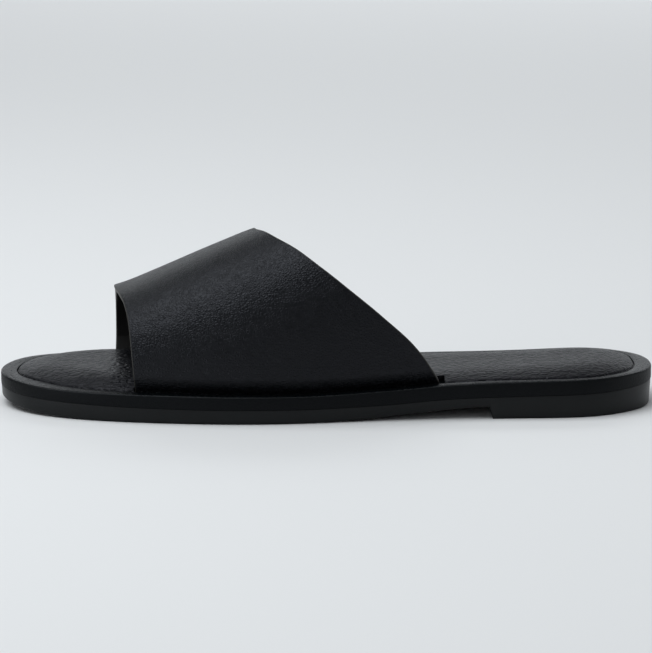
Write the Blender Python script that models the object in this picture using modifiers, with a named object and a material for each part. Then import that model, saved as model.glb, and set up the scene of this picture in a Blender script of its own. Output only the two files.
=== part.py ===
"""Slide sandal, left foot: one wide strap over a padded insole, a dark midsole and a rubber outsole.

The tables and sizes are in millimetres, with along measured from the toe tip and across from the
centre line. The meshes are in metres: the toe points to -X, the outer side of the foot to -Y, the
inner side to +Y, and the sole stands on z = 0 with the origin under the middle of the shoe's box.
"""
from collections import namedtuple

import bmesh
import bpy
import numpy as np

NAME = "slide_sandal"
MM = 0.001

# Driving sizes
LENGTH = 260.0
BOX_CENTRE_ACROSS = -2.25
FIT_GAP = 0.3
SPANS_ALONG = 44
SMOOTH_ANGLE = 0.6

# Colour and gloss of each piece
Finish = namedtuple("Finish", "name colour roughness")
FINISHES = {
    "outsole": Finish("moulded_rubber", (0.013, 0.013, 0.014), 0.55),
    "midsole": Finish("wrapped_board", (0.012, 0.012, 0.013), 0.6),
    "insole": Finish("padded_sock", (0.018, 0.018, 0.02), 0.5),
    "upper": Finish("strap_leather", (0.012, 0.012, 0.013), 0.45),
}

# Plan and side of the sole, a row for each place along it. outer and inner are half-widths, rim is
# the height of the footbed's edge, seam the height where midsole and outsole meet, margin_outer and
# margin_inner the width of the rim between sole edge and insole, and crest the insole's rise.
Section = namedtuple("Section", "along outer inner rim seam margin_outer margin_inner crest")
SOLE = (
    Section(0.0, 0.0, 0.0, 12.7, 8.0, 6.7, 6.7, 2.5),
    Section(1.7, 11.4, 11.6, 12.6, 7.8, 7.2, 6.2, 2.5),
    Section(7.0, 21.2, 23.7, 12.2, 7.4, 8.4, 5.2, 2.7),
    Section(15.0, 29.0, 32.2, 11.7, 7.0, 8.8, 4.8, 3.0),
    Section(28.0, 36.1, 38.6, 11.3, 6.6, 7.4, 4.8, 3.4),
    Section(45.0, 41.5, 41.8, 11.25, 6.3, 6.0, 5.4, 3.5),
    Section(70.0, 45.7, 43.0, 11.2, 6.0, 5.9, 5.9, 3.4),
    Section(95.0, 47.5, 42.0, 11.0, 5.8, 5.9, 5.9, 3.1),
    Section(120.0, 46.0, 38.6, 10.95, 5.75, 5.9, 5.9, 2.7),
    Section(150.0, 41.6, 33.2, 11.95, 6.4, 5.9, 5.9, 2.4),
    Section(180.0, 38.0, 27.7, 13.85, 8.25, 5.7, 5.4, 2.2),
    Section(210.0, 36.4, 26.9, 14.8, 9.05, 5.0, 4.8, 2.5),
    Section(235.0, 33.1, 29.8, 15.05, 9.4, 4.8, 4.6, 3.2),
    Section(250.0, 23.9, 22.8, 15.15, 9.8, 5.6, 4.8, 3.0),
    Section(257.5, 13.7, 13.2, 15.2, 10.1, 6.6, 6.0, 2.7),
    Section(LENGTH, 0.0, 0.0, 15.25, 10.2, 7.2, 7.2, 2.6),
)

# Underside of the outsole: height over the floor, and how far its lower edge tucks in
Underside = namedtuple("Underside", "along height tuck")
HEEL_BREAST = 194.0
BREAST_DRAFT = 1.2
BREAST_CLEAR = 2.5
TREAD = (
    Underside(0.0, 3.3, 0.2),
    Underside(8.0, 1.9, 0.2),
    Underside(20.0, 0.7, 0.3),
    Underside(34.0, 0.1, 0.4),
    Underside(46.0, 0.0, 0.5),
    Underside(114.0, 0.0, 0.5),
    Underside(140.0, 0.55, 1.0),
    Underside(170.0, 2.8, 1.6),
    Underside(HEEL_BREAST, 4.5, 1.3),
    Underside(HEEL_BREAST + BREAST_DRAFT, 0.0, 0.3),
    Underside(LENGTH, 0.0, 0.5),
)
OUTSOLE_INSET = 0.15
OUTSOLE_ROUND = 0.5

# Midsole and insole
RIM_BEVEL = 0.5
SEAT_DEPTH = 0.8
GROOVE = 0.4
INSOLE_EDGE = 0.3
SHOULDER = 11.0
SHOULDER_CURVE = 2.4
SHOULDER_STEPS = (0.0, 0.06, 0.16, 0.32, 0.56, 1.0)

# Strap: the line of its ridge, and its two edges. share runs over the arch from the foot of the
# outer wing at 0 through the ridge at 0.5 to the foot of the inner wing at 1.
Ridge = namedtuple("Ridge", "along height")
RIDGE = (
    Ridge(40.0, 43.4),
    Ridge(50.0, 46.7),
    Ridge(60.0, 50.9),
    Ridge(80.0, 59.75),
    Ridge(100.0, 68.4),
    Ridge(120.0, 76.7),
    Ridge(180.0, 101.2),
)
Edge = namedtuple("Edge", "share front rear")
EDGES = (
    Edge(0.0, 55.6, 174.3),
    Edge(0.03, 55.4, 172.0),
    Edge(0.08, 54.8, 165.7),
    Edge(0.15, 53.9, 151.8),
    Edge(0.22, 52.7, 137.1),
    Edge(0.30, 50.7, 121.2),
    Edge(0.38, 48.3, 109.6),
    Edge(0.44, 46.8, 104.8),
    Edge(0.50, 45.4, 101.4),
    Edge(0.62, 44.4, 103.6),
    Edge(0.70, 44.1, 107.6),
    Edge(0.78, 43.8, 117.0),
    Edge(0.86, 43.6, 133.5),
    Edge(0.93, 43.5, 147.5),
    Edge(1.0, 43.4, 153.5),
)
STRAP_WALL = 2.0
RIDGE_ACROSS = 3.0
FLARE_OUT = 3.0
FLARE_RISE = 5.0
ARCH_POWER_OUTER = 2.45
ARCH_POWER_INNER = 2.2
FLARE_POINTS = 12
ARCH_POINTS = 160
GIRTH_SPANS = 56
STRAP_SPANS = 14
WING_ROWS = 2

# How far the slot in the midsole and the notch in the insole reach round the foot of a wing
Reach = namedtuple("Reach", "outward inward ahead behind")
SLOT = Reach(FIT_GAP, STRAP_WALL + FIT_GAP, FIT_GAP, FIT_GAP)
NOTCH = Reach(5.0, STRAP_WALL + 2 * FIT_GAP, 2 * FIT_GAP, 2.2)
CUT_ABOVE_RIM = 9.0
CUT_SPANS = 24


def column(table, name):
    return np.array([getattr(row, name) for row in table])


def eased(at, places, values):
    """Smooth curve through a table that never overshoots a row."""
    step = np.diff(places)
    rise = np.diff(values) / step
    turns = rise[:-1] * rise[1:] <= 0
    mean = 2.0 * rise[:-1] * rise[1:] / np.where(turns, 1.0, rise[:-1] + rise[1:])
    slope = np.concatenate([rise[:1], np.where(turns, 0.0, mean), rise[-1:]])
    at = np.clip(at, places[0], places[-1])
    row = np.clip(np.searchsorted(places, at, side="right") - 1, 0, len(step) - 1)
    t = (at - places[row]) / step[row]
    start = values[row] * (1 + 2 * t) * (1 - t) ** 2 + slope[row] * step[row] * t * (1 - t) ** 2
    end = values[row + 1] * t ** 2 * (3 - 2 * t) + slope[row + 1] * step[row] * t ** 2 * (t - 1)
    return start + end


def fair(at, places, values):
    """Natural cubic spline through a table, for outlines that have to look fair."""
    step = np.diff(places)
    rise = np.diff(values) / step
    count = len(places)
    system = np.eye(count)
    pull = np.zeros(count)
    for row in range(1, count - 1):
        system[row, row - 1:row + 2] = step[row - 1], 2 * (step[row - 1] + step[row]), step[row]
        pull[row] = 6 * (rise[row] - rise[row - 1])
    bend = np.linalg.solve(system, pull)
    row = np.clip(np.searchsorted(places, at, side="right") - 1, 0, count - 2)
    before = at - places[row]
    after = places[row + 1] - at
    line = (values[row] * after + values[row + 1] * before) / step[row]
    curl = bend[row] * after * (after ** 2 / step[row] - step[row])
    curl += bend[row + 1] * before * (before ** 2 / step[row] - step[row])
    return line + curl / 6


def sole_value(name, along):
    return eased(along, column(SOLE, "along"), column(SOLE, name))


def rim_height(along):
    return sole_value("rim", along)


def seam_height(along):
    return sole_value("seam", along)


def tread_value(name, along):
    return eased(along, column(TREAD, "along"), column(TREAD, name))


def turn_of(along):
    """Half-turn parameter of a place along the sole, on which both ends come out round."""
    return np.arccos(np.clip(1 - 2 * along / LENGTH, -1.0, 1.0))


def even_turns(spans):
    return LENGTH * (1 - np.cos(np.linspace(0, np.pi, spans + 1))) / 2


def stations():
    """Places along the sole from toe tip to heel, with the two lines of the heel breast."""
    even = even_turns(SPANS_ALONG)
    breast = np.array([HEEL_BREAST, HEEL_BREAST + BREAST_DRAFT])
    clear = np.all(np.abs(even[:, None] - breast) > BREAST_CLEAR, axis=1)
    return np.sort(np.concatenate([even[clear], breast]))


def closed(outer, inner):
    """Values of both sides in one loop: toe tip, outer side, heel tip, inner side."""
    return np.concatenate([outer, inner[-2:0:-1]])


def outline(along):
    """Closed plan of the sole's edge, with the outward normal at each point."""
    turn = turn_of(along)
    places = turn_of(column(SOLE, "along"))
    run = LENGTH * np.sin(turn) / 2
    nudge = 1e-4
    points = []
    normals = []
    for name, sign in (("outer", -1.0), ("inner", 1.0)):
        widths = column(SOLE, name)
        later = fair(turn + nudge, places, widths)
        sooner = fair(turn - nudge, places, widths)
        normal = np.column_stack([(sooner - later) / (2 * nudge), sign * run])
        points.append(np.column_stack([along, sign * fair(turn, places, widths)]))
        normals.append(normal / np.linalg.norm(normal, axis=1)[:, None])
    return closed(*points), closed(*normals)


def margins(along):
    """Width of the rim at every point of the closed outline."""
    return closed(sole_value("margin_outer", along), sole_value("margin_inner", along))


def inset_ring(along, inset, height):
    """Outline moved inwards by inset, at heights worked out from each point's own place along."""
    points, normals = outline(along)
    plan = points - normals * np.broadcast_to(inset, len(points))[:, None]
    return np.column_stack([plan, height(plan[:, 0])])


def placed(point):
    """A point in millimetres from toe tip and centre line, as metres in the part's frame."""
    along, across, height = point
    return ((along - LENGTH / 2) * MM, (across - BOX_CENTRE_ACROSS) * MM, height * MM)


def plain_material(finish):
    material = bpy.data.materials.new(finish.name)
    material.use_nodes = True
    shader = material.node_tree.nodes["Principled BSDF"]
    shader.inputs["Base Color"].default_value = (*finish.colour, 1.0)
    shader.inputs["Roughness"].default_value = finish.roughness
    shader.inputs["Metallic"].default_value = 0.0
    return material


def finished(name, shape, collection):
    """Turn a bmesh into a named object of a collection, with its faces pointing out."""
    bmesh.ops.recalc_face_normals(shape, faces=shape.faces)
    mesh = bpy.data.meshes.new(name)
    shape.to_mesh(mesh)
    shape.free()
    mesh.shade_smooth()
    mesh.set_sharp_from_angle(angle=SMOOTH_ANGLE)
    if name in FINISHES:
        mesh.materials.append(plain_material(FINISHES[name]))
    piece = bpy.data.objects.new(name, mesh)
    collection.objects.link(piece)
    return piece


def wall_between(shape, lower, upper):
    """Faces between two closed loops with the same number of points."""
    for place in range(len(lower)):
        following = (place + 1) % len(lower)
        shape.faces.new((lower[place], lower[following], upper[following], upper[place]))


def close_across(shape, loop):
    """Close a loop from side to side, station by station from toe tip to heel tip."""
    last = len(loop) // 2
    shape.faces.new((loop[0], loop[1], loop[-1]))
    for step in range(1, last - 1):
        shape.faces.new((loop[step], loop[step + 1], loop[-step - 1], loop[-step]))
    shape.faces.new((loop[last - 1], loop[last], loop[last + 1]))


def ring_body(name, rings, collection):
    """Closed body through rings stacked from its underside to its top."""
    shape = bmesh.new()
    loops = [[shape.verts.new(placed(point)) for point in ring] for ring in rings]
    for lower, upper in zip(loops, loops[1:]):
        wall_between(shape, lower, upper)
    close_across(shape, loops[0])
    close_across(shape, loops[-1])
    return finished(name, shape, collection)


def build_outsole(along, collection):
    """Rubber outsole: flat under the ball of the foot, arched at the waist, with a low heel block."""
    height = tread_value("height", along)
    tuck = tread_value("tuck", along)
    floor_line = closed(height, height)
    lower_edge = OUTSOLE_INSET + closed(tuck, tuck)
    rings = [
        inset_ring(along, lower_edge + OUTSOLE_ROUND, lambda at: floor_line),
        inset_ring(along, lower_edge, lambda at: floor_line + OUTSOLE_ROUND),
        inset_ring(along, OUTSOLE_INSET, lambda at: seam_height(at) - FIT_GAP / 2),
    ]
    return ring_body("outsole", rings, collection)


def build_midsole(along, collection):
    """Midsole with its bevelled rim and the shallow seat that the insole lies in."""
    seat_edge = margins(along) - GROOVE
    rings = [
        inset_ring(along, 0.0, lambda at: seam_height(at) + FIT_GAP / 2),
        inset_ring(along, 0.0, lambda at: rim_height(at) - RIM_BEVEL),
        inset_ring(along, RIM_BEVEL, rim_height),
        inset_ring(along, seat_edge, rim_height),
        inset_ring(along, seat_edge, lambda at: rim_height(at) - SEAT_DEPTH),
    ]
    return ring_body("midsole", rings, collection)


def insole_top(along, share):
    """Height of the padded insole, share of the way from its edge up its soft shoulder."""
    rise = sole_value("crest", along) + INSOLE_EDGE
    return rim_height(along) - INSOLE_EDGE + rise * (1 - (1 - share) ** SHOULDER_CURVE)


def build_insole(along, collection):
    """Padded insole: a soft shoulder all round that rises to a nearly level bed."""
    edge = margins(along)
    rings = [inset_ring(along, edge, lambda at: rim_height(at) - SEAT_DEPTH + FIT_GAP)]
    for share in SHOULDER_STEPS:
        rings.append(inset_ring(along, edge + SHOULDER * share, lambda at: insole_top(at, share)))
    return ring_body("insole", rings, collection)


def groove_across(along, sign):
    """Plan line on which the strap's outer face enters the midsole, on one side of the foot."""
    fine = even_turns(8 * SPANS_ALONG)
    ring = inset_ring(fine, margins(fine) - GROOVE, rim_height)
    side = ring[:len(fine)] if sign < 0 else np.vstack([ring[:1], ring[:len(fine) - 2:-1]])
    return np.interp(along, side[:, 0], side[:, 1])


def arch_section(along):
    """Outer and inner half of the strap's section at one place, each from its groove to the ridge."""
    rim = rim_height(along) + FIT_GAP
    foot = rim + FLARE_RISE
    ridge = eased(along, column(RIDGE, "along"), column(RIDGE, "height"))
    rise = np.linspace(0, 1, FLARE_POINTS)
    bulge = 1 - (1 - rise) ** 2
    angle = np.linspace(0, np.pi / 2, ARCH_POINTS)[1:]
    halves = []
    for sign, arch_power in ((-1.0, ARCH_POWER_OUTER), (1.0, ARCH_POWER_INNER)):
        groove = groove_across(along, sign)
        wall = groove + sign * FLARE_OUT
        flare = np.column_stack([groove + (wall - groove) * bulge, rim + FLARE_RISE * rise])
        arch = np.column_stack([RIDGE_ACROSS + (wall - RIDGE_ACROSS) * np.cos(angle) ** (2 / arch_power),
                                foot + (ridge - foot) * np.sin(angle) ** (2 / arch_power)])
        halves.append(np.vstack([flare, arch]))
    return halves


def strap_point(along, share):
    """Point of the strap's outer face, with share measured along each half of the arch."""
    outer, inner = arch_section(along)
    half, way = (outer, 2 * share) if share <= 0.5 else (inner, 2 * (1 - share))
    run = np.concatenate([[0.0], np.cumsum(np.linalg.norm(np.diff(half, axis=0), axis=1))])
    across, height = (np.interp(way * run[-1], run, half[:, axis]) for axis in (0, 1))
    return np.array([along, across, height])


def strap_edge(name, share):
    return eased(share, column(EDGES, "share"), column(EDGES, name))


def wing_rows(foot):
    """Rows that carry the foot of a wing straight down through its slot, from the top one down."""
    rows = []
    for step in range(1, WING_ROWS + 1):
        row = foot.copy()
        slot_end = seam_height(row[:, 0]) + FIT_GAP / 2
        row[:, 2] += (slot_end - row[:, 2]) * step / WING_ROWS
        rows.append(row)
    return rows


def build_upper(collection):
    """The one wide strap: its outer face as an open sheet, thickened inwards to its real wall."""
    rows = []
    for share in np.linspace(0, 1, GIRTH_SPANS + 1):
        places = np.linspace(strap_edge("front", share), strap_edge("rear", share), STRAP_SPANS + 1)
        rows.append(np.array([strap_point(at, share) for at in places]))
    rows = wing_rows(rows[0])[::-1] + rows + wing_rows(rows[-1])
    shape = bmesh.new()
    grid = [[shape.verts.new(placed(point)) for point in row] for row in rows]
    for row, following in zip(grid, grid[1:]):
        for place in range(STRAP_SPANS):
            shape.faces.new((row[place], following[place], following[place + 1], row[place + 1]))
    piece = finished("upper", shape, collection)
    wall = piece.modifiers.new("wall", "SOLIDIFY")
    wall.thickness = STRAP_WALL * MM
    wall.offset = -1.0
    wall.use_even_offset = True
    return piece


def strap_foot_cutter(name, sign, reach, collection):
    """Upright band along the foot of one wing, wide enough to cut its slot or its notch."""
    share = 0.0 if sign < 0 else 1.0
    front = strap_edge("front", share) - reach.ahead
    rear = strap_edge("rear", share) + reach.behind
    places = np.linspace(front, rear, CUT_SPANS + 1)
    shape = bmesh.new()
    frames = []
    for at, line, rim in zip(places, groove_across(places, sign), rim_height(places)):
        outside = line + sign * reach.outward
        inside = line - sign * reach.inward
        top = rim + CUT_ABOVE_RIM
        corners = (outside, 0.0), (outside, top), (inside, top), (inside, 0.0)
        frames.append([shape.verts.new(placed((at, *corner))) for corner in corners])
    for frame, following in zip(frames, frames[1:]):
        wall_between(shape, frame, following)
    shape.faces.new(frames[0])
    shape.faces.new(frames[-1])
    cutter = finished(name, shape, collection)
    cutter.hide_render = True
    cutter.display_type = "WIRE"
    return cutter


def cut(piece, cutter):
    step = piece.modifiers.new(cutter.name, "BOOLEAN")
    step.operation = "DIFFERENCE"
    step.solver = "EXACT"
    step.object = cutter


def main():
    for old in list(bpy.data.objects):
        bpy.data.objects.remove(old)
    model = bpy.data.collections.new(NAME)
    cutters = bpy.data.collections.new("cutters")
    for collection in (model, cutters):
        bpy.context.scene.collection.children.link(collection)

    along = stations()
    build_outsole(along, model)
    midsole = build_midsole(along, model)
    insole = build_insole(along, model)
    build_upper(model)
    for side, sign in (("outer", -1.0), ("inner", 1.0)):
        cut(midsole, strap_foot_cutter(f"slot_{side}", sign, SLOT, cutters))
        cut(insole, strap_foot_cutter(f"notch_{side}", sign, NOTCH, cutters))


main()
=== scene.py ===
"""Looks of the slide sandal: grained strap, padded insole, wrapped board and moulded rubber outsole.

Tables and sizes are in millimetres, with along measured from the toe tip and across from the centre
line. Meshes are in metres: toe to -X, outer side of the foot to -Y, inner side to +Y, floor at z = 0.
"""
import math
from collections import namedtuple

import bmesh
import bpy
import numpy as np
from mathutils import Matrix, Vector


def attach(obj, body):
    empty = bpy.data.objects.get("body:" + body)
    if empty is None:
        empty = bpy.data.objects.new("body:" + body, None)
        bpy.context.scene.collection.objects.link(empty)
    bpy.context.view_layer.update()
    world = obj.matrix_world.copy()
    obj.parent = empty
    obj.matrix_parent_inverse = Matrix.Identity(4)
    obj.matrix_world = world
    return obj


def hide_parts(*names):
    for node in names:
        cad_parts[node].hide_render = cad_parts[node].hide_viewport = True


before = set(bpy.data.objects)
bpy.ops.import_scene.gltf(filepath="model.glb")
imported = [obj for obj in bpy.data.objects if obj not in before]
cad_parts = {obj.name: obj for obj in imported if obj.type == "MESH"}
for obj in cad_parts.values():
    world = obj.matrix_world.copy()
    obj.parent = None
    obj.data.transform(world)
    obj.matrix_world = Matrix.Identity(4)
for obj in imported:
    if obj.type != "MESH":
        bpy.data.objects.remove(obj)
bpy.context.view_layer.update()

MM = 0.001

# Driving sizes, as in the solids
LENGTH = 260.0
BOX_CENTRE_ACROSS = -2.25
FIT_GAP = 0.3

# Plan and side of the sole, a row for each place along it. outer and inner are half-widths, rim is
# the height of the footbed's edge, seam the height where midsole and outsole meet, margin_outer and
# margin_inner the width of the rim between sole edge and insole, and crest the insole's rise.
Section = namedtuple("Section", "along outer inner rim seam margin_outer margin_inner crest")
SOLE = (
    Section(0.0, 0.0, 0.0, 12.7, 8.0, 6.7, 6.7, 2.5),
    Section(1.7, 11.4, 11.6, 12.6, 7.8, 7.2, 6.2, 2.5),
    Section(7.0, 21.2, 23.7, 12.2, 7.4, 8.4, 5.2, 2.7),
    Section(15.0, 29.0, 32.2, 11.7, 7.0, 8.8, 4.8, 3.2),
    Section(28.0, 36.1, 38.6, 11.3, 6.6, 7.4, 4.8, 4.1),
    Section(45.0, 41.5, 41.8, 11.25, 6.3, 6.0, 5.4, 4.5),
    Section(70.0, 45.7, 43.0, 11.2, 6.0, 5.9, 5.9, 4.1),
    Section(95.0, 47.5, 42.0, 11.0, 5.8, 5.9, 5.9, 3.1),
    Section(120.0, 46.0, 38.6, 10.95, 5.75, 5.9, 5.9, 2.7),
    Section(150.0, 41.6, 33.2, 11.95, 6.4, 5.9, 5.9, 2.4),
    Section(180.0, 38.0, 27.7, 13.85, 8.25, 5.7, 5.4, 2.2),
    Section(210.0, 36.4, 26.9, 14.8, 9.05, 5.0, 4.8, 2.5),
    Section(235.0, 33.1, 29.8, 15.05, 9.4, 4.8, 4.6, 3.2),
    Section(250.0, 23.9, 22.8, 15.15, 9.8, 5.6, 4.8, 3.0),
    Section(257.5, 13.7, 13.2, 15.2, 10.1, 6.6, 6.0, 2.7),
    Section(LENGTH, 0.0, 0.0, 15.25, 10.2, 7.2, 7.2, 2.6),
)

# Underside of the outsole: height over the floor, how far its lower edge tucks in, and how deep its
# tread field is sunk inside a plain border
Underside = namedtuple("Underside", "along height tuck field")
HEEL_BREAST = 194.0
BREAST_DRAFT = 1.2
BREAST_CLEAR = 2.5
TREAD = (
    Underside(0.0, 3.3, 0.2, 0.0),
    Underside(8.0, 1.9, 0.2, 0.7),
    Underside(20.0, 0.7, 0.3, 0.7),
    Underside(34.0, 0.1, 0.4, 0.7),
    Underside(46.0, 0.0, 0.5, 0.7),
    Underside(114.0, 0.0, 0.5, 0.7),
    Underside(140.0, 0.55, 1.0, 0.7),
    Underside(170.0, 2.8, 1.6, 0.0),
    Underside(HEEL_BREAST, 4.5, 1.3, 0.0),
    Underside(HEEL_BREAST + BREAST_DRAFT, 0.0, 0.3, 0.0),
    Underside(202.0, 0.0, 0.5, 0.7),
    Underside(LENGTH, 0.0, 0.5, 0.7),
)
OUTSOLE_INSET = 0.15
OUTSOLE_ROUND = 0.7
SEAM_ROUND = 0.12
SEAM_GAP = 0.1
FIELD_BORDER = 4.0
FIELD_WALL = 0.5

# Tread ribs: wavy bars across the two fields that bear on the floor
Field = namedtuple("Field", "first last")
RIB_FIELDS = (Field(15.0, 140.0), Field(206.0, 250.0))
RIB_PITCH = 3.4
RIB_WIDTH = 1.5
RIB_TOP_SHARE = 0.7
RIB_WAVE = 1.1
RIB_WAVE_LENGTH = 9.0
RIB_STEP = 0.75
RIB_HEIGHT = 0.8

# Midsole and insole
RIM_ROUND = 0.8
ROUND_POINTS = 5
RIM_CROWN = 0.15
RIM_SPANS = 8
SEAT_DEPTH = 0.8
SEAT_ROUND = 0.45
GROOVE = 0.4
INSOLE_EDGE = 0.3
ROLL = 0.6
ROLL_WIDTH = 0.8
SHOULDER = 20.0
SHOULDER_CURVE = 2.2
SOLE_SPANS = 200
BED_SPANS = 72
RIPPLE = 0.22
RIPPLE_PITCH = 3.5
RIPPLE_SEED = 4.0
RIPPLE_STRETCH = (0.35, 1.0, 1.0)
RIPPLE_ONSET = 0.25
WELD_METRES = 1e-6

# Strap: the line of its ridge, and its two edges. share runs over the arch from the foot of the
# outer wing at 0 through the ridge at 0.5 to the foot of the inner wing at 1.
Ridge = namedtuple("Ridge", "along height")
RIDGE = (
    Ridge(40.0, 43.4),
    Ridge(50.0, 46.7),
    Ridge(60.0, 50.9),
    Ridge(80.0, 59.75),
    Ridge(92.0, 64.9),
    Ridge(97.0, 67.0),
    Ridge(101.0, 68.5),
    Ridge(106.0, 70.4),
    Ridge(120.0, 76.4),
    Ridge(180.0, 101.2),
)
Edge = namedtuple("Edge", "share front rear")
EDGES = (
    Edge(0.0, 55.6, 174.3),
    Edge(0.03, 55.4, 171.6),
    Edge(0.08, 54.8, 164.7),
    Edge(0.15, 53.9, 151.3),
    Edge(0.22, 52.7, 137.1),
    Edge(0.30, 50.7, 122.1),
    Edge(0.38, 48.3, 110.5),
    Edge(0.44, 46.8, 105.6),
    Edge(0.50, 45.4, 102.1),
    Edge(0.57, 44.7, 101.0),
    Edge(0.64, 44.3, 102.8),
    Edge(0.70, 44.1, 107.0),
    Edge(0.78, 43.8, 117.0),
    Edge(0.86, 43.6, 133.5),
    Edge(0.93, 43.5, 147.5),
    Edge(1.0, 43.4, 153.5),
)
STRAP_WALL = 2.0
CUT_ROUND = 0.45
CORNER_POINTS = 4
FACE_SLOT, LINING_SLOT, EDGE_SLOT = range(3)
STRAP_GIRTH = 165.0
RIDGE_ACROSS = 3.0
GROOVE_SPANS = 1600
FLARE_OUT = 3.0
FLARE_RISE = 6.3
FLARE_POWER = 1.25
ARCH_POWER_OUTER = 2.45
ARCH_POWER_INNER = 2.2
FLARE_POINTS = 24
ARCH_POINTS = 400
GIRTH_SPANS = 240
STRAP_SPANS = 110
SECTION_STEP = 0.5
WING_ROWS = 6

# Soft creases of the strap: the middle of each, which way it runs (0 along the foot,
# 90 over the arch), how long and wide it is, and its depth (less than 0 for a ridge)
Crease = namedtuple("Crease", "along share heading length width depth")
CREASES = (
    Crease(66.0, 0.20, 8.0, 30.0, 3.2, 0.10),
    Crease(78.0, 0.27, 14.0, 34.0, 3.6, 0.12),
    Crease(70.0, 0.31, 10.0, 26.0, 3.0, -0.07),
    Crease(92.0, 0.31, 16.0, 30.0, 3.4, 0.10),
    Crease(98.0, 0.24, 10.0, 28.0, 4.0, 0.09),
    Crease(112.0, 0.25, 20.0, 26.0, 3.6, -0.08),
    Crease(86.0, 0.15, 4.0, 40.0, 4.6, 0.10),
    Crease(118.0, 0.13, 2.0, 44.0, 5.0, -0.09),
    Crease(62.0, 0.11, 70.0, 16.0, 5.0, 0.12),
    Crease(128.0, 0.10, 60.0, 18.0, 5.0, 0.10),
    Crease(60.0, 0.74, -8.0, 30.0, 3.4, 0.10),
    Crease(82.0, 0.70, -12.0, 32.0, 3.6, 0.11),
    Crease(96.0, 0.80, -4.0, 34.0, 4.0, -0.08),
    Crease(112.0, 0.86, 0.0, 34.0, 4.6, 0.10),
)

# How far the slot in the midsole and the notch in the insole reach round the foot of a wing. The rear
# notch is the wider cut behind the outer wing, so it starts far behind the front of that foot.
Reach = namedtuple("Reach", "outward inward ahead behind")
SLOT = Reach(FIT_GAP, STRAP_WALL + FIT_GAP, FIT_GAP, FIT_GAP)
NOTCH = Reach(5.0, STRAP_WALL + 2 * FIT_GAP, 2 * FIT_GAP, 2.2)
REAR_NOTCH = Reach(5.0, 7.0, -116.0, 2.2)
CUT_ABOVE_RIM = 9.0
CUT_SPANS = 60

# The photograph's view, its lens given by the width of the image in the focal plane
VIEW_DISTANCE = 1.3
VIEW_ELEVATION = math.radians(11.305)
VIEW_TARGET = (0.0, 0.00225, 0.02956)
FOCAL_PIXELS = 3253.5
IMAGE_PIXELS = 653
SENSOR = 36.0

# Cool tint of the gloss on each leather, and the sharpest turn that is still shaded as round
STRAP_TINT = (0.89, 0.905, 1.0, 1.0)
INSOLE_TINT = (0.945, 0.925, 1.0, 1.0)
BOARD_TINT = (0.94, 0.955, 1.0, 1.0)
SMOOTH_DEGREES = 40.0

# Pale floor and soft light: places and sizes in metres, power in watts
FLOOR_SIZE = 12.0
FLOOR_COLOUR = (0.76, 0.755, 0.75)
FLOOR_ROUGHNESS = 0.85
AMBIENT_COLOUR = (0.93, 0.96, 1.0)
AMBIENT = 0.28
LIGHT_COLOUR = (0.918, 0.967, 1.0)
Light = namedtuple("Light", "name place target size power mirrored")
LIGHTS = (
    Light("overhead_box", (-0.48, -0.12, 1.2), (-0.15, -0.08, 0.0), (1.1, 1.4), 15.2, True),
    Light("background_box", (0.3, 2.2, 1.5), (0.3, 2.1, 0.0), (3.0, 1.2), 23.8, False),
    Light("horizon_panel", (0.0, 4.5, 0.85), (0.0, 0.0, 0.4), (6.0, 1.2), 18.0, True),
    Light("left_panel", (-2.2, -1.6, 0.4), (0.0, 0.0, 0.0), (1.6, 0.7), 10.5, True),
    Light("right_panel", (2.9, 0.9, 0.45), (0.0, 0.0, 0.0), (2.0, 0.8), 12.8, True),
)


# Curves through the tables


def column(table, name):
    return np.array([getattr(row, name) for row in table])


def eased(at, places, values):
    """Smooth curve through a table that never overshoots a row."""
    step = np.diff(places)
    rise = np.diff(values) / step
    turns = rise[:-1] * rise[1:] <= 0
    mean = 2.0 * rise[:-1] * rise[1:] / np.where(turns, 1.0, rise[:-1] + rise[1:])
    slope = np.concatenate([rise[:1], np.where(turns, 0.0, mean), rise[-1:]])
    at = np.clip(at, places[0], places[-1])
    row = np.clip(np.searchsorted(places, at, side="right") - 1, 0, len(step) - 1)
    t = (at - places[row]) / step[row]
    start = values[row] * (1 + 2 * t) * (1 - t) ** 2 + slope[row] * step[row] * t * (1 - t) ** 2
    end = values[row + 1] * t ** 2 * (3 - 2 * t) + slope[row + 1] * step[row] * t ** 2 * (t - 1)
    return start + end


def fair(at, places, values):
    """Natural cubic spline through a table, for outlines that have to look fair."""
    step = np.diff(places)
    rise = np.diff(values) / step
    count = len(places)
    system = np.eye(count)
    pull = np.zeros(count)
    for row in range(1, count - 1):
        system[row, row - 1:row + 2] = step[row - 1], 2 * (step[row - 1] + step[row]), step[row]
        pull[row] = 6 * (rise[row] - rise[row - 1])
    bend = np.linalg.solve(system, pull)
    row = np.clip(np.searchsorted(places, at, side="right") - 1, 0, count - 2)
    before = at - places[row]
    after = places[row + 1] - at
    line = (values[row] * after + values[row + 1] * before) / step[row]
    curl = bend[row] * after * (after ** 2 / step[row] - step[row])
    curl += bend[row + 1] * before * (before ** 2 / step[row] - step[row])
    return line + curl / 6


def sole_value(name, along):
    return eased(along, column(SOLE, "along"), column(SOLE, name))


def rim_height(along):
    return sole_value("rim", along)


def seam_height(along):
    return sole_value("seam", along)


def tread_value(name, along):
    return eased(along, column(TREAD, "along"), column(TREAD, name))


# Outline of the sole


def turn_of(along):
    """Half-turn parameter of a place along the sole, on which both ends come out round."""
    return np.arccos(np.clip(1 - 2 * along / LENGTH, -1.0, 1.0))


def even_turns(spans):
    return LENGTH * (1 - np.cos(np.linspace(0, np.pi, spans + 1))) / 2


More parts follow.
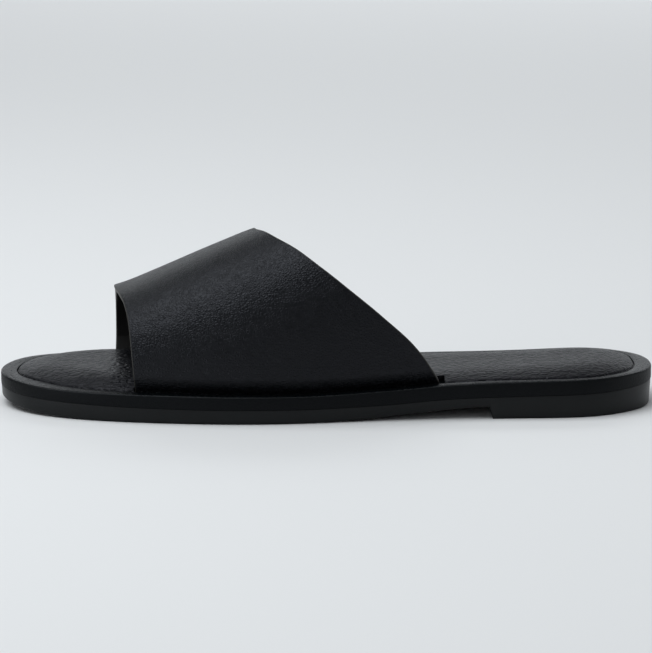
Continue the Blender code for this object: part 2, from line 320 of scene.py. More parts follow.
def stations():
    """Places along the sole from toe tip to heel, with the two lines of the heel breast."""
    even = even_turns(SOLE_SPANS)
    breast = np.array([HEEL_BREAST, HEEL_BREAST + BREAST_DRAFT])
    clear = np.all(np.abs(even[:, None] - breast) > BREAST_CLEAR / 2, axis=1)
    return np.sort(np.concatenate([even[clear], breast]))


def closed(outer, inner):
    """Values of both sides in one loop: toe tip, outer side, heel tip, inner side."""
    return np.concatenate([outer, inner[-2:0:-1]])


def outline(along):
    """Closed plan of the sole's edge, with the outward normal at each point."""
    turn = turn_of(along)
    places = turn_of(column(SOLE, "along"))
    run = LENGTH * np.sin(turn) / 2
    nudge = 1e-4
    points = []
    normals = []
    for name, sign in (("outer", -1.0), ("inner", 1.0)):
        widths = column(SOLE, name)
        later = fair(turn + nudge, places, widths)
        sooner = fair(turn - nudge, places, widths)
        normal = np.column_stack([(sooner - later) / (2 * nudge), sign * run])
        points.append(np.column_stack([along, sign * fair(turn, places, widths)]))
        normals.append(normal / np.linalg.norm(normal, axis=1)[:, None])
    return closed(*points), closed(*normals)


def margins(along):
    """Width of the rim at every point of the closed outline."""
    return closed(sole_value("margin_outer", along), sole_value("margin_inner", along))


def inset_ring(along, inset, height):
    """Outline moved inwards by inset, at heights worked out from each point's own place along."""
    points, normals = outline(along)
    plan = points - normals * np.broadcast_to(inset, len(points))[:, None]
    return np.column_stack([plan, height(plan[:, 0])])


def quarter_round(radius):
    """A rounded edge as pairs: how far in, and how far below its crown."""
    angles = np.linspace(0, np.pi / 2, ROUND_POINTS)
    return [(radius * (1 - math.cos(a)), radius * (1 - math.sin(a))) for a in angles]


# Meshes


def placed(points):
    """Points in millimetres from toe tip and centre line, as metres in the part's frame."""
    return (np.asarray(points) - (LENGTH / 2, BOX_CENTRE_ACROSS, 0.0)) * MM


def linked(name, mesh):
    piece = bpy.data.objects.new(name, mesh)
    bpy.context.scene.collection.objects.link(piece)
    return piece


def outwards(mesh):
    shape = bmesh.new()
    shape.from_mesh(mesh)
    bmesh.ops.recalc_face_normals(shape, faces=shape.faces)
    shape.to_mesh(mesh)
    shape.free()


def finished(name, points, faces, slots=None):
    """Object from points in millimetres and faces, smooth, with its faces pointing out."""
    mesh = bpy.data.meshes.new(name)
    mesh.from_pydata(placed(points).tolist(), [], faces)
    if slots is not None:
        mesh.polygons.foreach_set("material_index", slots)
    outwards(mesh)
    piece = linked(name, mesh)
    bounded_smooth(piece)
    return piece


def tube_faces(rows, around):
    """Faces of a skin through closed rows with the same number of points."""
    faces = []
    for row in range(rows - 1):
        for place in range(around):
            following = (place + 1) % around
            low = row * around
            high = low + around
            faces.append((low + place, low + following, high + following, high + place))
    return faces


def across_faces(start, around):
    """Faces that close a ring from side to side, station by station from toe tip to heel tip."""
    last = around // 2
    faces = [(start, start + 1, start + around - 1)]
    for step in range(1, last - 1):
        faces.append((start + step, start + step + 1, start + around - step - 1, start + around - step))
    faces.append((start + last - 1, start + last, start + last + 1))
    return faces


def ring_body(name, rings):
    """Closed body through rings stacked from its underside to its top."""
    around = len(rings[0])
    faces = tube_faces(len(rings), around)
    faces += across_faces(0, around)
    faces += across_faces((len(rings) - 1) * around, around)
    return finished(name, np.vstack(rings), faces)


def plain_mesh(piece):
    """Turn a piece's modifiers into its own mesh."""
    bpy.context.view_layer.update()
    evaluated = piece.evaluated_get(bpy.context.evaluated_depsgraph_get())
    mesh = bpy.data.meshes.new_from_object(evaluated)
    piece.modifiers.clear()
    piece.data = mesh
    mesh.name = piece.name


def bounded_smooth(piece):
    """Smooth shading that stops at every sharp edge."""
    piece.data.shade_smooth()
    piece.data.set_sharp_from_angle(angle=math.radians(SMOOTH_DEGREES))


# Node trees, for shaders and for shapes


class Socket:
    """An output socket that Python's arithmetic turns into Math nodes."""

    def __init__(self, graph, output):
        self.graph = graph
        self.output = output

    def also(self, name):
        """Another output of the same node."""
        return Socket(self.graph, self.output.node.outputs[name])

    def math(self, operation, *values):
        sockets = dict(enumerate((self, *values)))
        return self.graph.node("ShaderNodeMath", {"operation": operation}, sockets)

    def __add__(self, other):
        return self.math("ADD", other)

    def __mul__(self, other):
        return self.math("MULTIPLY", other)

    def __sub__(self, other):
        return self.math("SUBTRACT", other)

    def __rsub__(self, other):
        return (self * -1.0).math("ADD", other)

    __radd__ = __add__
    __rmul__ = __mul__

    def between(self, low, high):
        """Smooth step from 0 to 1 as the value goes from low to high."""
        sockets = {"Value": self, "From Min": low, "From Max": high}
        return self.graph.node("ShaderNodeMapRange", {"interpolation_type": "SMOOTHSTEP"}, sockets)


class Graph:
    """A node tree with one method that makes any node."""

    def __init__(self, tree):
        self.tree = tree

    def node(self, kind, settings=None, sockets=None, output=0):
        """Make a node, set it up, fill or link its sockets, and give one of its outputs."""
        made = self.tree.nodes.new(kind)
        for name, value in (settings or {}).items():
            setattr(made, name, value)
        for key, value in (sockets or {}).items():
            if isinstance(value, Socket):
                self.tree.links.new(value.output, made.inputs[key])
            else:
                made.inputs[key].default_value = value
        return Socket(self, made.outputs[output]) if made.outputs else made


class Finish(Graph):
    """A material whose Principled shader takes constants on its sockets and patterns by link."""

    def __init__(self, name, **constants):
        self.material = bpy.data.materials.new(name)
        self.material.use_nodes = True
        super().__init__(self.material.node_tree)
        self.shader = self.tree.nodes["Principled BSDF"]
        for key, value in constants.items():
            self.shader.inputs[key.replace("_", " ")].default_value = value
        self.place = self.node("ShaderNodeTexCoord", output=3)

    def feed(self, key, value):
        """Let a pattern drive one socket of the shader."""
        self.tree.links.new(value.output, self.shader.inputs[key])

    def stretched(self, scale, turn=0.0):
        """Object coordinates stretched by scale, and turned about the upright axis."""
        sockets = {"Vector": self.place, "Scale": scale, "Rotation": (0.0, 0.0, math.radians(turn))}
        return self.node("ShaderNodeMapping", None, sockets)

    def noise(self, pitch, detail=2.0, roughness=0.5, stretch=(1.0, 1.0, 1.0)):
        """Soft noise whose blobs are about pitch millimetres wide."""
        sockets = {"Vector": self.stretched(stretch), "Scale": 1.0 / (pitch * MM),
                   "Detail": detail, "Roughness": roughness}
        return self.node("ShaderNodeTexNoise", None, sockets)

    def cells(self, pitch, stretch=(1.0, 1.0, 1.0), turn=0.0):
        """Distance to the edges of irregular cells about pitch millimetres wide."""
        sockets = {"Vector": self.stretched(stretch, turn), "Scale": 1.0 / (pitch * MM)}
        return self.node("ShaderNodeTexVoronoi", {"feature": "DISTANCE_TO_EDGE"}, sockets)

    def blend(self, factor, first, second):
        """Colour between two others."""
        sockets = {"Factor": factor, "A": (*first, 1.0), "B": (*second, 1.0)}
        return self.node("ShaderNodeMix", {"data_type": "RGBA"}, sockets, output=2)

    def relief(self, height, depth, under=None):
        """Surface normal for a height pattern whose full range is depth millimetres."""
        sockets = {"Height": height, "Distance": depth * MM, "Strength": 1.0}
        if under:
            sockets["Normal"] = under
        return self.node("ShaderNodeBump", None, sockets)


def strap_leather():
    """Black leather with a pebbled hair-cell grain and faint lengthwise drawn lines."""
    look = Finish("pebbled_leather", Metallic=0.0, Specular_IOR_Level=0.25, Specular_Tint=STRAP_TINT)
    grain = look.cells(1.05).between(0.0, 0.35)
    fine = look.noise(0.45, 3.0, 0.6)
    drawn = look.noise(1.3, 4.0, 0.65, (0.32, 1.0, 1.0))
    swell = look.noise(9.0, 2.0)
    height = grain * 0.55 + fine * 0.25 + drawn * 0.5
    look.feed("Normal", look.relief(height, 0.23, look.relief(swell, 0.35)))
    look.feed("Roughness", 0.34 - 0.08 * grain + 0.1 * drawn)
    look.feed("Base Color", look.blend(grain * fine, (0.0004, 0.0007, 0.001), (0.0013, 0.0017, 0.0022)))
    return look.material


def strap_lining():
    """Smooth backing on the inside of the strap."""
    look = Finish("strap_lining", Metallic=0.0, Specular_IOR_Level=0.2)
    weave = look.noise(0.6, 3.0)
    look.feed("Normal", look.relief(weave, 0.05))
    look.feed("Roughness", 0.62 + 0.12 * weave)
    look.feed("Base Color", look.blend(weave, (0.004, 0.0038, 0.0036), (0.009, 0.008, 0.007)))
    return look.material


def cut_edge():
    """Painted cut edge of the strap, a little browner and rougher than its face."""
    look = Finish("cut_edge", Metallic=0.0, Specular_IOR_Level=0.35)
    fibre = look.noise(0.5, 3.0, 0.6)
    look.feed("Normal", look.relief(fibre, 0.08))
    look.feed("Roughness", 0.4 + 0.2 * fibre)
    look.feed("Base Color", look.blend(fibre, (0.012, 0.0112, 0.0095), (0.03, 0.027, 0.022)))
    return look.material


def insole_leather():
    """Thin black leather drawn over padding, with fine wrinkles that run lengthwise."""
    look = Finish("wrinkled_leather", Metallic=0.0, Specular_IOR_Level=0.16, Specular_Tint=INSOLE_TINT)
    wrinkle = look.noise(2.0, 5.0, 0.62, (0.35, 1.0, 1.0))
    cross = look.cells(1.6, stretch=(0.45, 1.0, 1.0), turn=14.0).between(0.0, 0.3)
    fine = look.noise(0.5, 2.0)
    height = wrinkle * 0.9 + cross * 0.45 + fine * 0.15
    look.feed("Normal", look.relief(height, 0.5))
    look.feed("Roughness", 0.27 + 0.14 * wrinkle)
    look.feed("Base Color", look.blend(wrinkle, (0.002, 0.0022, 0.003), (0.0052, 0.0055, 0.007)))
    return look.material


def board_wrap():
    """Grained wrap of the midsole: satin and finely wrinkled on the rim, matt on the wall."""
    look = Finish("board_wrap", Metallic=0.0, Specular_IOR_Level=0.12, Specular_Tint=BOARD_TINT)
    up = look.node("ShaderNodeNewGeometry", output=1)
    upward = look.node("ShaderNodeSeparateXYZ", None, {"Vector": up}, output=2).between(0.35, 0.85)
    grain = look.cells(0.9).between(0.0, 0.3)
    wrinkle = look.noise(1.1, 4.0, 0.65)
    height = grain * 0.35 + wrinkle * 0.7
    look.feed("Normal", look.relief(height, 0.12))
    look.feed("Roughness", 0.46 - 0.22 * upward + 0.08 * wrinkle)
    look.feed("Base Color", look.blend(wrinkle, (0.0009, 0.0014, 0.0018), (0.0022, 0.0029, 0.0034)))
    return look.material


def moulded_rubber():
    """Matt moulded rubber with faint cloudy marks and a very fine skin."""
    look = Finish("moulded_rubber", Metallic=0.0, Specular_IOR_Level=0.2)
    cloud = look.noise(14.0, 3.0, 0.6)
    skin = look.noise(0.5, 3.0, 0.6)
    look.feed("Normal", look.relief(skin, 0.03))
    look.feed("Roughness", 0.32 + 0.14 * cloud)
    look.feed("Base Color", look.blend(cloud, (0.0024, 0.0032, 0.0037), (0.0066, 0.0077, 0.0083)))
    return look.material


# Shapes made by geometry nodes


class ShapeTree(Graph):
    """A geometry tree whose sizes are named inputs."""

    def __init__(self, name, inputs):
        super().__init__(bpy.data.node_groups.new(name, "GeometryNodeTree"))
        face = self.tree.interface
        face.new_socket(name="Geometry", in_out="INPUT", socket_type="NodeSocketGeometry")
        face.new_socket(name="Geometry", in_out="OUTPUT", socket_type="NodeSocketGeometry")
        kinds = {float: "NodeSocketFloat", bpy.types.Material: "NodeSocketMaterial"}
        for key, kind in inputs.items():
            face.new_socket(name=key, in_out="INPUT", socket_type=kinds[kind])
        self.entry = self.node("NodeGroupInput")

    def given(self, key):
        return self.entry.also(key)

    def attribute(self, key):
        return self.node("GeometryNodeInputNamedAttribute", None, {"Name": key})

    def end(self, geometry):
        """Close the tree with a mesh of its own, in the material that the tree was given."""
        real = self.node("GeometryNodeRealizeInstances", None, {"Geometry": geometry})
        dressed = self.node("GeometryNodeSetMaterial", None,
                            {"Geometry": real, "Material": self.given("Material")})
        self.node("NodeGroupOutput", None, {"Geometry": dressed})
        return self.tree


def grown(piece, tree, **values):
    """Run a geometry tree on a piece with these sizes, and keep the result as its mesh."""
    step = piece.modifiers.new("shape", "NODES")
    step.node_group = tree
    for item in tree.interface.items_tree:
        key = item.name.replace(" ", "_")
        if item.in_out == "INPUT" and key in values:
            step[item.identifier] = values[key]
    plain_mesh(piece)
    return piece


def padding_tree():
    """Pads a flat sheet: turned up at its border, rising over a soft shoulder, level underneath."""
    graph = ShapeTree("padding", {"Roll": float, "Roll Width": float, "Shoulder": float, "Curve": float,
                                  "Depth": float, "Ripple": float, "Ripple Pitch": float, "Seed": float,
                                  "Material": bpy.types.Material})
    sheet = graph.entry
    neighbours = graph.node("GeometryNodeInputMeshEdgeNeighbors")
    equal = {"data_type": "INT", "operation": "EQUAL"}
    border = graph.node("FunctionNodeCompare", equal, {2: neighbours, 3: 1})
    rail = graph.node("GeometryNodeSeparateGeometry", {"domain": "EDGE"},
                      {"Geometry": sheet, "Selection": border})
    near = graph.node("GeometryNodeProximity", {"target_element": "EDGES"}, {0: rail}, output="Distance")
    way = near.math("DIVIDE", graph.given("Shoulder")).math("MINIMUM", 1.0)
    swell = 1.0 - (1.0 - way).math("POWER", graph.given("Curve"))
    turn = near.math("DIVIDE", graph.given("Roll Width")).math("MINIMUM", 1.0)
    roll = (1.0 - (1.0 - turn).math("POWER", 2.0)) * graph.given("Roll") * (1.0 - way)
    place = graph.node("GeometryNodeInputPosition")
    stretched = graph.node("ShaderNodeVectorMath", {"operation": "MULTIPLY"},
                           {0: place, 1: RIPPLE_STRETCH})
    ripple = graph.node("ShaderNodeTexNoise", {"noise_dimensions": "4D"},
                        {"Vector": stretched, "W": graph.given("Seed"), "Detail": 2.0,
                         "Scale": graph.given("Ripple Pitch").math("POWER", -1.0)})
    fold = (ripple - 0.5) * graph.given("Ripple") * way.between(0.0, RIPPLE_ONSET)
    lift = graph.node("ShaderNodeCombineXYZ", None, {"Z": graph.attribute("crest") * swell + roll + fold})
    top = graph.node("GeometryNodeSetPosition", None, {"Geometry": sheet, "Offset": lift})
    drop = graph.node("ShaderNodeCombineXYZ", None, {"Z": graph.given("Depth") * -1.0})
    low = graph.node("GeometryNodeSetPosition", None, {"Geometry": sheet, "Offset": drop})
    rise = graph.node("ShaderNodeCombineXYZ", None, {"Z": graph.given("Depth")})
    walls = graph.node("GeometryNodeExtrudeMesh", {"mode": "EDGES"},
                       {"Mesh": low, "Selection": border, "Offset": rise, "Offset Scale": 1.0})
    both = graph.node("GeometryNodeJoinGeometry")
    for part in (walls, top):
        graph.tree.links.new(part.output, both.output.node.inputs[0])
    body = graph.node("GeometryNodeMergeByDistance", None, {"Geometry": both, "Distance": WELD_METRES})
    return graph.end(body)


def rib_tree():
    """Lays a wavy bar on each point, as long as the field is wide there."""
    graph = ShapeTree("ribs", {"Width": float, "Height": float, "Wave": float, "Wave Length": float,
                               "Step": float, "Material": bpy.types.Material})
    ends = {"Start": (0.0, -0.5, 0.0), "End": (0.0, 0.5, 0.0)}
    bar = graph.node("GeometryNodeCurvePrimitiveLine", None, ends)
    size = graph.node("ShaderNodeCombineXYZ", None, {"X": 1.0, "Y": graph.attribute("across"), "Z": 1.0})
    bars = graph.node("GeometryNodeInstanceOnPoints", None,
                      {"Points": graph.entry, "Instance": bar, "Scale": size})
    lines = graph.node("GeometryNodeRealizeInstances", None, {"Geometry": bars})
    fine = graph.node("GeometryNodeResampleCurve", {"mode": "LENGTH"},
                      {"Curve": lines, "Length": graph.given("Step")})
    place = graph.node("ShaderNodeSeparateXYZ", None, {0: graph.node("GeometryNodeInputPosition")})
    phase = (place.also("Y") * math.tau).math("DIVIDE", graph.given("Wave Length"))
    sway = graph.node("ShaderNodeCombineXYZ", None, {"X": phase.math("SINE") * graph.given("Wave")})
    wavy = graph.node("GeometryNodeSetPosition", None, {"Geometry": fine, "Offset": sway})
    section = graph.node("GeometryNodeCurvePrimitiveQuadrilateral", {"mode": "TRAPEZOID"},
                         {"Height": graph.given("Height"), "Bottom Width": graph.given("Width"),
                          "Top Width": graph.given("Width") * RIB_TOP_SHARE, "Offset": 0.0})
    upright = graph.node("GeometryNodeSetCurveNormal", {"mode": "Z_UP"}, {"Curve": wavy})
    bodies = graph.node("GeometryNodeCurveToMesh", None,
                        {"Curve": upright, "Profile Curve": section, "Fill Caps": True})
    return graph.end(bodies)


# Sole pieces


def outsole_rings(along):
    """Rings of the outsole from its sunk tread field, round the border and up the wall to the seam."""
    height = tread_value("height", along)
    tuck = tread_value("tuck", along)
    field = tread_value("field", along)
    floor_line = closed(height, height)
    lower_edge = OUTSOLE_INSET + closed(tuck, tuck)
    border = lower_edge + FIELD_BORDER
    sunk = floor_line + closed(field, field)
    rings = [inset_ring(along, border + FIELD_WALL, lambda at: sunk),
             inset_ring(along, border, lambda at: floor_line)]
    for inset, drop in reversed(quarter_round(OUTSOLE_ROUND)):
        rings.append(inset_ring(along, lower_edge + inset, lambda at: floor_line + drop))
    for inset, drop in quarter_round(SEAM_ROUND):
        rings.append(inset_ring(along, OUTSOLE_INSET + inset,
                                lambda at: seam_height(at) - SEAM_GAP / 2 - drop))
    return rings


def midsole_rings(along):
    """Rings of the wrapped board from its underside, up the wall and over the rim into the seat."""
    seat_edge = margins(along) - GROOVE
    rings = []
    for inset, drop in reversed(quarter_round(SEAM_ROUND)):
        rings.append(inset_ring(along, inset, lambda at: seam_height(at) + SEAM_GAP / 2 + drop))
    for inset, drop in quarter_round(RIM_ROUND):
        rings.append(inset_ring(along, inset, lambda at: rim_height(at) - drop))
    for share in np.linspace(0, 1, RIM_SPANS + 1)[1:-1]:
        inset = RIM_ROUND + (seat_edge - SEAT_ROUND - RIM_ROUND) * share
        crown = RIM_CROWN * math.sin(math.pi * share)
        rings.append(inset_ring(along, inset, lambda at: rim_height(at) + crown))
    for inset, drop in reversed(quarter_round(SEAT_ROUND)):
        rings.append(inset_ring(along, seat_edge - inset, lambda at: rim_height(at) - drop))
    rings.append(inset_ring(along, seat_edge, lambda at: rim_height(at) - SEAT_DEPTH))
    return rings


def insole_sheet(along, leather):
    """Flat sheet inside the rim, closer set near its border, that knows how high each point may rise."""
    ring = inset_ring(along, margins(along), lambda at: rim_height(at) - INSOLE_EDGE)
    last = len(along) - 1
    ways = (1 - np.cos(np.linspace(0, np.pi, BED_SPANS + 1))) / 2
    points = [ring[0]]
    for step in range(1, last):
        points += [ring[step] + (ring[-step] - ring[step]) * way for way in ways]
    points.append(ring[last])
    wide = BED_SPANS + 1
    rows = [list(range(1 + step * wide, 1 + (step + 1) * wide)) for step in range(last - 1)]
    faces = [(0, one, two) for one, two in zip(rows[0], rows[0][1:])]
    for row, following in zip(rows, rows[1:]):
        faces += [(row[k], following[k], following[k + 1], row[k + 1]) for k in range(BED_SPANS)]
    faces += [(len(points) - 1, two, one) for one, two in zip(rows[-1], rows[-1][1:])]
    points = np.array(points)
    sheet = finished("insole_cover", points, faces)
    sheet.data.materials.append(leather)
    rise = (sole_value("crest", points[:, 0]) + INSOLE_EDGE) * MM
    sheet.data.attributes.new("crest", "FLOAT", "POINT").data.foreach_set("value", rise)
    return sheet


def rib_points():
    """A point for each tread rib, which knows how wide the field is there."""
    fine = even_turns(SOLE_SPANS)
    tuck = tread_value("tuck", fine)
    inset = OUTSOLE_INSET + closed(tuck, tuck) + FIELD_BORDER + FIELD_WALL / 2
    ring = inset_ring(fine, inset, lambda at: at)
    outer = ring[:len(fine)]
    inner = np.vstack([ring[:1], ring[:len(fine) - 2:-1]])
    points = []
    widths = []
    for field in RIB_FIELDS:
        for at in np.arange(field.first, field.last, RIB_PITCH):
            low, high = (np.interp(at, side[:, 0], side[:, 1]) for side in (outer, inner))
            points.append((at, (low + high) / 2, float(tread_value("height", at)) + RIB_HEIGHT / 2))
            widths.append((high - low) * MM)
    piece = finished("tread_ribs", points, [])
    piece.data.attributes.new("across", "FLOAT", "POINT").data.foreach_set("value", widths)
    return piece


# Strap


def groove_line(sign):
    """Plan line on which the strap's outer face enters the midsole, on one side of the foot."""
    fine = even_turns(GROOVE_SPANS)
    ring = inset_ring(fine, margins(fine) - GROOVE, rim_height)
    side = ring[:len(fine)] if sign < 0 else np.vstack([ring[:1], ring[:len(fine) - 2:-1]])
    return side[:, 0], side[:, 1]


GROOVES = {sign: groove_line(sign) for sign in (-1.0, 1.0)}


def groove_across(along, sign):
    return np.interp(along, *GROOVES[sign])


def strap_edge(name, share):
    return eased(share, column(EDGES, "share"), column(EDGES, name))


def strap_section(along, shares):
    """Across and height of the strap's outer face at one place, each half of the arch by its length."""
    rim = rim_height(along) + FIT_GAP
    foot = rim + FLARE_RISE
    ridge = eased(along, column(RIDGE, "along"), column(RIDGE, "height"))
    rise = np.linspace(0, 1, FLARE_POINTS)
    bulge = 1 - (1 - rise) ** FLARE_POWER
    angle = np.linspace(0, np.pi / 2, ARCH_POINTS)[1:]
    section = np.empty((len(shares), 2))
    for sign, arch_power, ours, ways in (
            (-1.0, ARCH_POWER_OUTER, shares <= 0.5, 2 * shares),
            (1.0, ARCH_POWER_INNER, shares > 0.5, 2 * (1 - shares))):
        groove = groove_across(along, sign)
        wall = groove + sign * FLARE_OUT
        flare = np.column_stack([groove + (wall - groove) * bulge, rim + FLARE_RISE * rise])
        arch = np.column_stack([RIDGE_ACROSS + (wall - RIDGE_ACROSS) * np.cos(angle) ** (2 / arch_power),
                                foot + (ridge - foot) * np.sin(angle) ** (2 / arch_power)])
        half = np.vstack([flare, arch])
        run = np.concatenate([[0.0], np.cumsum(np.linalg.norm(np.diff(half, axis=0), axis=1))])
        for axis in (0, 1):
            section[ours, axis] = np.interp(ways[ours] * run[-1], run, half[:, axis])
    return section


def strap_grid():
    """Shares over the arch, and the place along of every point of the strap's grid."""
    shares = np.linspace(0, 1, GIRTH_SPANS + 1)
    front = strap_edge("front", shares)
    rear = strap_edge("rear", shares)
    return shares, front[:, None] + (rear - front)[:, None] * np.linspace(0, 1, STRAP_SPANS + 1)


def strap_face():
    """Grid of points on the strap's outer face, a row for each step over the arch, feet included."""
    shares, along = strap_grid()
    places = np.arange(along.min() - SECTION_STEP, along.max() + 2 * SECTION_STEP, SECTION_STEP)
    sections = np.array([strap_section(at, shares) for at in places])
    face = np.empty(along.shape + (3,))
    face[..., 0] = along
    for row in range(len(shares)):
        for axis in (0, 1):
            face[row, :, axis + 1] = np.interp(along[row], places, sections[:, row, axis])
    return np.concatenate([wing_rows(face[0])[::-1], face, wing_rows(face[-1])])


def wing_rows(foot):
    """Rows that carry the foot of a wing straight down through its slot, from the top one down."""
    rows = np.repeat(foot[None], WING_ROWS, axis=0)
    drop = seam_height(foot[:, 0]) + FIT_GAP / 2 - foot[:, 2]
    rows[..., 2] += drop * (np.arange(1, WING_ROWS + 1) / WING_ROWS)[:, None]
    return rows


def unit(vectors):
    return vectors / np.linalg.norm(vectors, axis=-1, keepdims=True)


def crease_depth():
    """How far each point of the strap's grid is pressed in by the creases."""
    shares, along = strap_grid()
    depth = np.zeros(along.shape)
    for crease in CREASES:
        heading = math.radians(crease.heading)
        forward = along - crease.along
        over = (shares[:, None] - crease.share) * STRAP_GIRTH
        lengthwise = forward * math.cos(heading) + over * math.sin(heading)
        sideways = over * math.cos(heading) - forward * math.sin(heading)
        fall = (2 * lengthwise / crease.length) ** 2 + (2 * sideways / crease.width) ** 2
        depth += crease.depth * np.exp(-fall)
    feet = ((WING_ROWS, WING_ROWS), (0, 0))
    return np.pad(depth, feet)


def corner(edge, out, normal, depth, first, last):
    """Points round one corner of the cut edge, depth below the outer face."""
    centre = edge - out * CUT_ROUND - normal * depth
    angles = np.linspace(first, last, CORNER_POINTS)
    return [centre + CUT_ROUND * (normal * math.cos(a) + out * math.sin(a)) for a in angles]


def strap_loops():
    """Closed sections of the strap's wall, one for each row over the arch."""
    face = strap_face()
    over, forward = np.gradient(face, axis=(0, 1))
    normal = unit(np.cross(forward, over))
    if normal[len(face) // 2, 0, 2] < 0:
        normal = -normal
    face = face - normal * crease_depth()[..., None]
    top, deep = CUT_ROUND, STRAP_WALL - CUT_ROUND
    quarter, half = math.pi / 2, math.pi
    columns = []
    for side, sign in ((0, -1.0), (-1, 1.0)):
        out = unit(np.cross(normal[:, side], unit(over[:, side])))
        out *= np.sign(np.sum(out * forward[:, side], axis=1, keepdims=True)) * sign
        ends = face[:, side], out, normal[:, side]
        columns.append((corner(*ends, top, 0.0, quarter), corner(*ends, deep, quarter, half)))
    (front_top, front_low), (rear_top, rear_low) = columns
    outer = [face[:, k] for k in range(1, STRAP_SPANS)]
    inner = [face[:, k] - normal[:, k] * STRAP_WALL for k in range(STRAP_SPANS - 1, 0, -1)]
    loops = front_top[::-1] + outer + rear_top + rear_low + inner + front_low[::-1]
    edge = [EDGE_SLOT] * (CORNER_POINTS - 1)
    kinds = [edge + [kind] * (STRAP_SPANS + 1) + edge for kind in (FACE_SLOT, LINING_SLOT)]
    return np.stack(loops, axis=1), kinds[0] + kinds[1]


def build_strap():
    """One piece: outer face, lining and cut edges round the same wall."""
    loops, kinds = strap_loops()
    rows, around = loops.shape[:2]
    faces = tube_faces(rows, around)
    slots = [kind if kind == kinds[(k + 1) % around] else EDGE_SLOT for k, kind in enumerate(kinds)]
    slots = slots * (rows - 1)
    for start in (0, (rows - 1) * around):
        for k in range(around // 2 - 1):
            faces.append(tuple(start + i for i in (k, k + 1, around - 2 - k, around - 1 - k)))
            slots.append(EDGE_SLOT)
    strap = finished("strap", loops.reshape(-1, 3), faces, slots)
    for material in (strap_leather(), strap_lining(), cut_edge()):
        strap.data.materials.append(material)
    return strap


# Slots and notches


def strap_foot_cutter(sign, reach):
    """Upright band along the foot of one wing, wide enough to cut its slot or its notch."""
    share = np.array([0.0 if sign < 0 else 1.0])
    front = strap_edge("front", share)[0] - reach.ahead
    rear = strap_edge("rear", share)[0] + reach.behind
    places = np.linspace(front, rear, CUT_SPANS + 1)
    frames = []
    for at, line, rim in zip(places, groove_across(places, sign), rim_height(places)):
        outside = line + sign * reach.outward
        inside = line - sign * reach.inward
        top = rim + CUT_ABOVE_RIM
        frames.append([(at, outside, 0.0), (at, outside, top), (at, inside, top), (at, inside, 0.0)])
    last = len(frames) * 4
    faces = tube_faces(len(frames), 4) + [(0, 1, 2, 3), tuple(range(last - 4, last))]
    return finished("cutter", np.array(frames).reshape(-1, 3), faces)


def cut_for_strap(piece, reach, signs=(-1.0, 1.0)):
    """Cut a piece where the feet of the strap pass it."""
    cutters = [strap_foot_cutter(sign, reach) for sign in signs]
    for cutter in cutters:
        step = piece.modifiers.new("cut", "BOOLEAN")
        step.operation = "DIFFERENCE"
        step.solver = "EXACT"
        step.object = cutter
    plain_mesh(piece)
    for cutter in cutters:
        bpy.data.objects.remove(cutter)
    bounded_smooth(piece)


# The sandal


def dress(piece, slot, *nodes):
    """Say which body a piece rides on, and hide the solids that it stands for; slot is not used."""
    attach(piece, "root")
    if nodes:
        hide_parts(*nodes)


def build_sandal():
    """All the pieces, from the floor up."""
    along = stations()
    rubber = moulded_rubber()

    outsole = ring_body("outsole_rubber", outsole_rings(along))
    outsole.data.materials.append(rubber)
    dress(outsole, "outsole_rubber", "outsole")

    ribs = grown(rib_points(), rib_tree(), Width=RIB_WIDTH * MM, Height=RIB_HEIGHT * MM, Wave=RIB_WAVE * MM,
                 Wave_Length=RIB_WAVE_LENGTH * MM, Step=RIB_STEP * MM, Material=rubber)
    outwards(ribs.data)
    bounded_smooth(ribs)
    dress(ribs, "outsole_rubber")

    midsole = ring_body("midsole_board", midsole_rings(along))
    midsole.data.materials.append(board_wrap())
    cut_for_strap(midsole, SLOT)
    dress(midsole, "midsole_wrap", "midsole")

    leather = insole_leather()
    insole = grown(insole_sheet(along, leather), padding_tree(), Roll=ROLL * MM, Roll_Width=ROLL_WIDTH * MM,
                   Shoulder=SHOULDER * MM, Curve=SHOULDER_CURVE,
                   Depth=(SEAT_DEPTH - FIT_GAP - INSOLE_EDGE) * MM, Ripple=RIPPLE * MM,
                   Ripple_Pitch=RIPPLE_PITCH * MM, Seed=RIPPLE_SEED, Material=leather)
    outwards(insole.data)
    cut_for_strap(insole, NOTCH)
    cut_for_strap(insole, REAR_NOTCH, (-1.0,))
    dress(insole, "insole_leather", "insole")

    dress(build_strap(), "strap_leather", "upper")


# Floor, light and camera


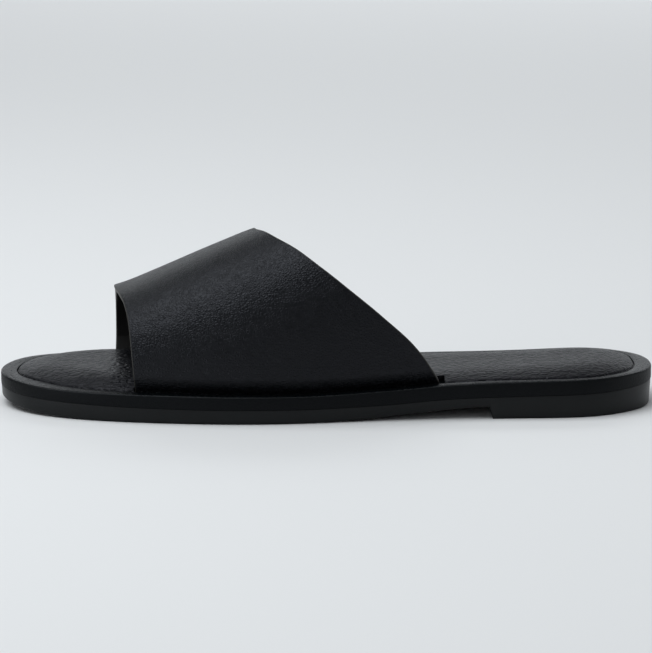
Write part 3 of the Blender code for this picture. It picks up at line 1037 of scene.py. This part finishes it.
def plain_floor():
    half = FLOOR_SIZE / 2
    mesh = bpy.data.meshes.new("floor")
    corners = [(-half, -half, 0), (half, -half, 0), (half, half, 0), (-half, half, 0)]
    mesh.from_pydata(corners, [], [(0, 1, 2, 3)])
    paper = Finish("pale_paper", Metallic=0.0, Specular_IOR_Level=0.1)
    paper.shader.inputs["Base Color"].default_value = (*FLOOR_COLOUR, 1.0)
    paper.shader.inputs["Roughness"].default_value = FLOOR_ROUGHNESS
    mesh.materials.append(paper.material)
    linked("floor", mesh)


def soft_box(light):
    """Area light at a place, turned to a target."""
    lamp = bpy.data.lights.new(light.name, "AREA")
    lamp.shape = "RECTANGLE"
    lamp.size, lamp.size_y = light.size
    lamp.energy = light.power
    lamp.color = LIGHT_COLOUR
    box = bpy.data.objects.new(light.name, lamp)
    box.location = light.place
    box.rotation_euler = (Vector(light.target) - Vector(light.place)).to_track_quat("-Z", "Y").to_euler()
    box.visible_glossy = light.mirrored
    bpy.context.scene.collection.objects.link(box)


def light_studio():
    """A dim even surround, and the soft boxes."""
    world = bpy.data.worlds.new("studio")
    world.use_nodes = True
    backdrop = world.node_tree.nodes["Background"]
    backdrop.inputs["Color"].default_value = (*AMBIENT_COLOUR, 1.0)
    backdrop.inputs["Strength"].default_value = AMBIENT
    bpy.context.scene.world = world
    for light in LIGHTS:
        soft_box(light)


def place_camera():
    """Camera at the photograph's angle to the shoe."""
    lens = bpy.data.cameras.new("photo_view")
    lens.sensor_fit = "AUTO"
    lens.sensor_width = SENSOR
    lens.lens = SENSOR * FOCAL_PIXELS / IMAGE_PIXELS
    camera = bpy.data.objects.new("photo_view", lens)
    back = Vector((0.0, -math.cos(VIEW_ELEVATION), math.sin(VIEW_ELEVATION)))
    camera.location = Vector(VIEW_TARGET) + VIEW_DISTANCE * back
    camera.rotation_euler = (math.pi / 2 - VIEW_ELEVATION, 0.0, 0.0)
    bpy.context.scene.collection.objects.link(camera)
    bpy.context.scene.camera = camera


place_camera()
build_sandal()
plain_floor()
light_studio()
bpy.context.scene.view_settings.view_transform = "Standard"
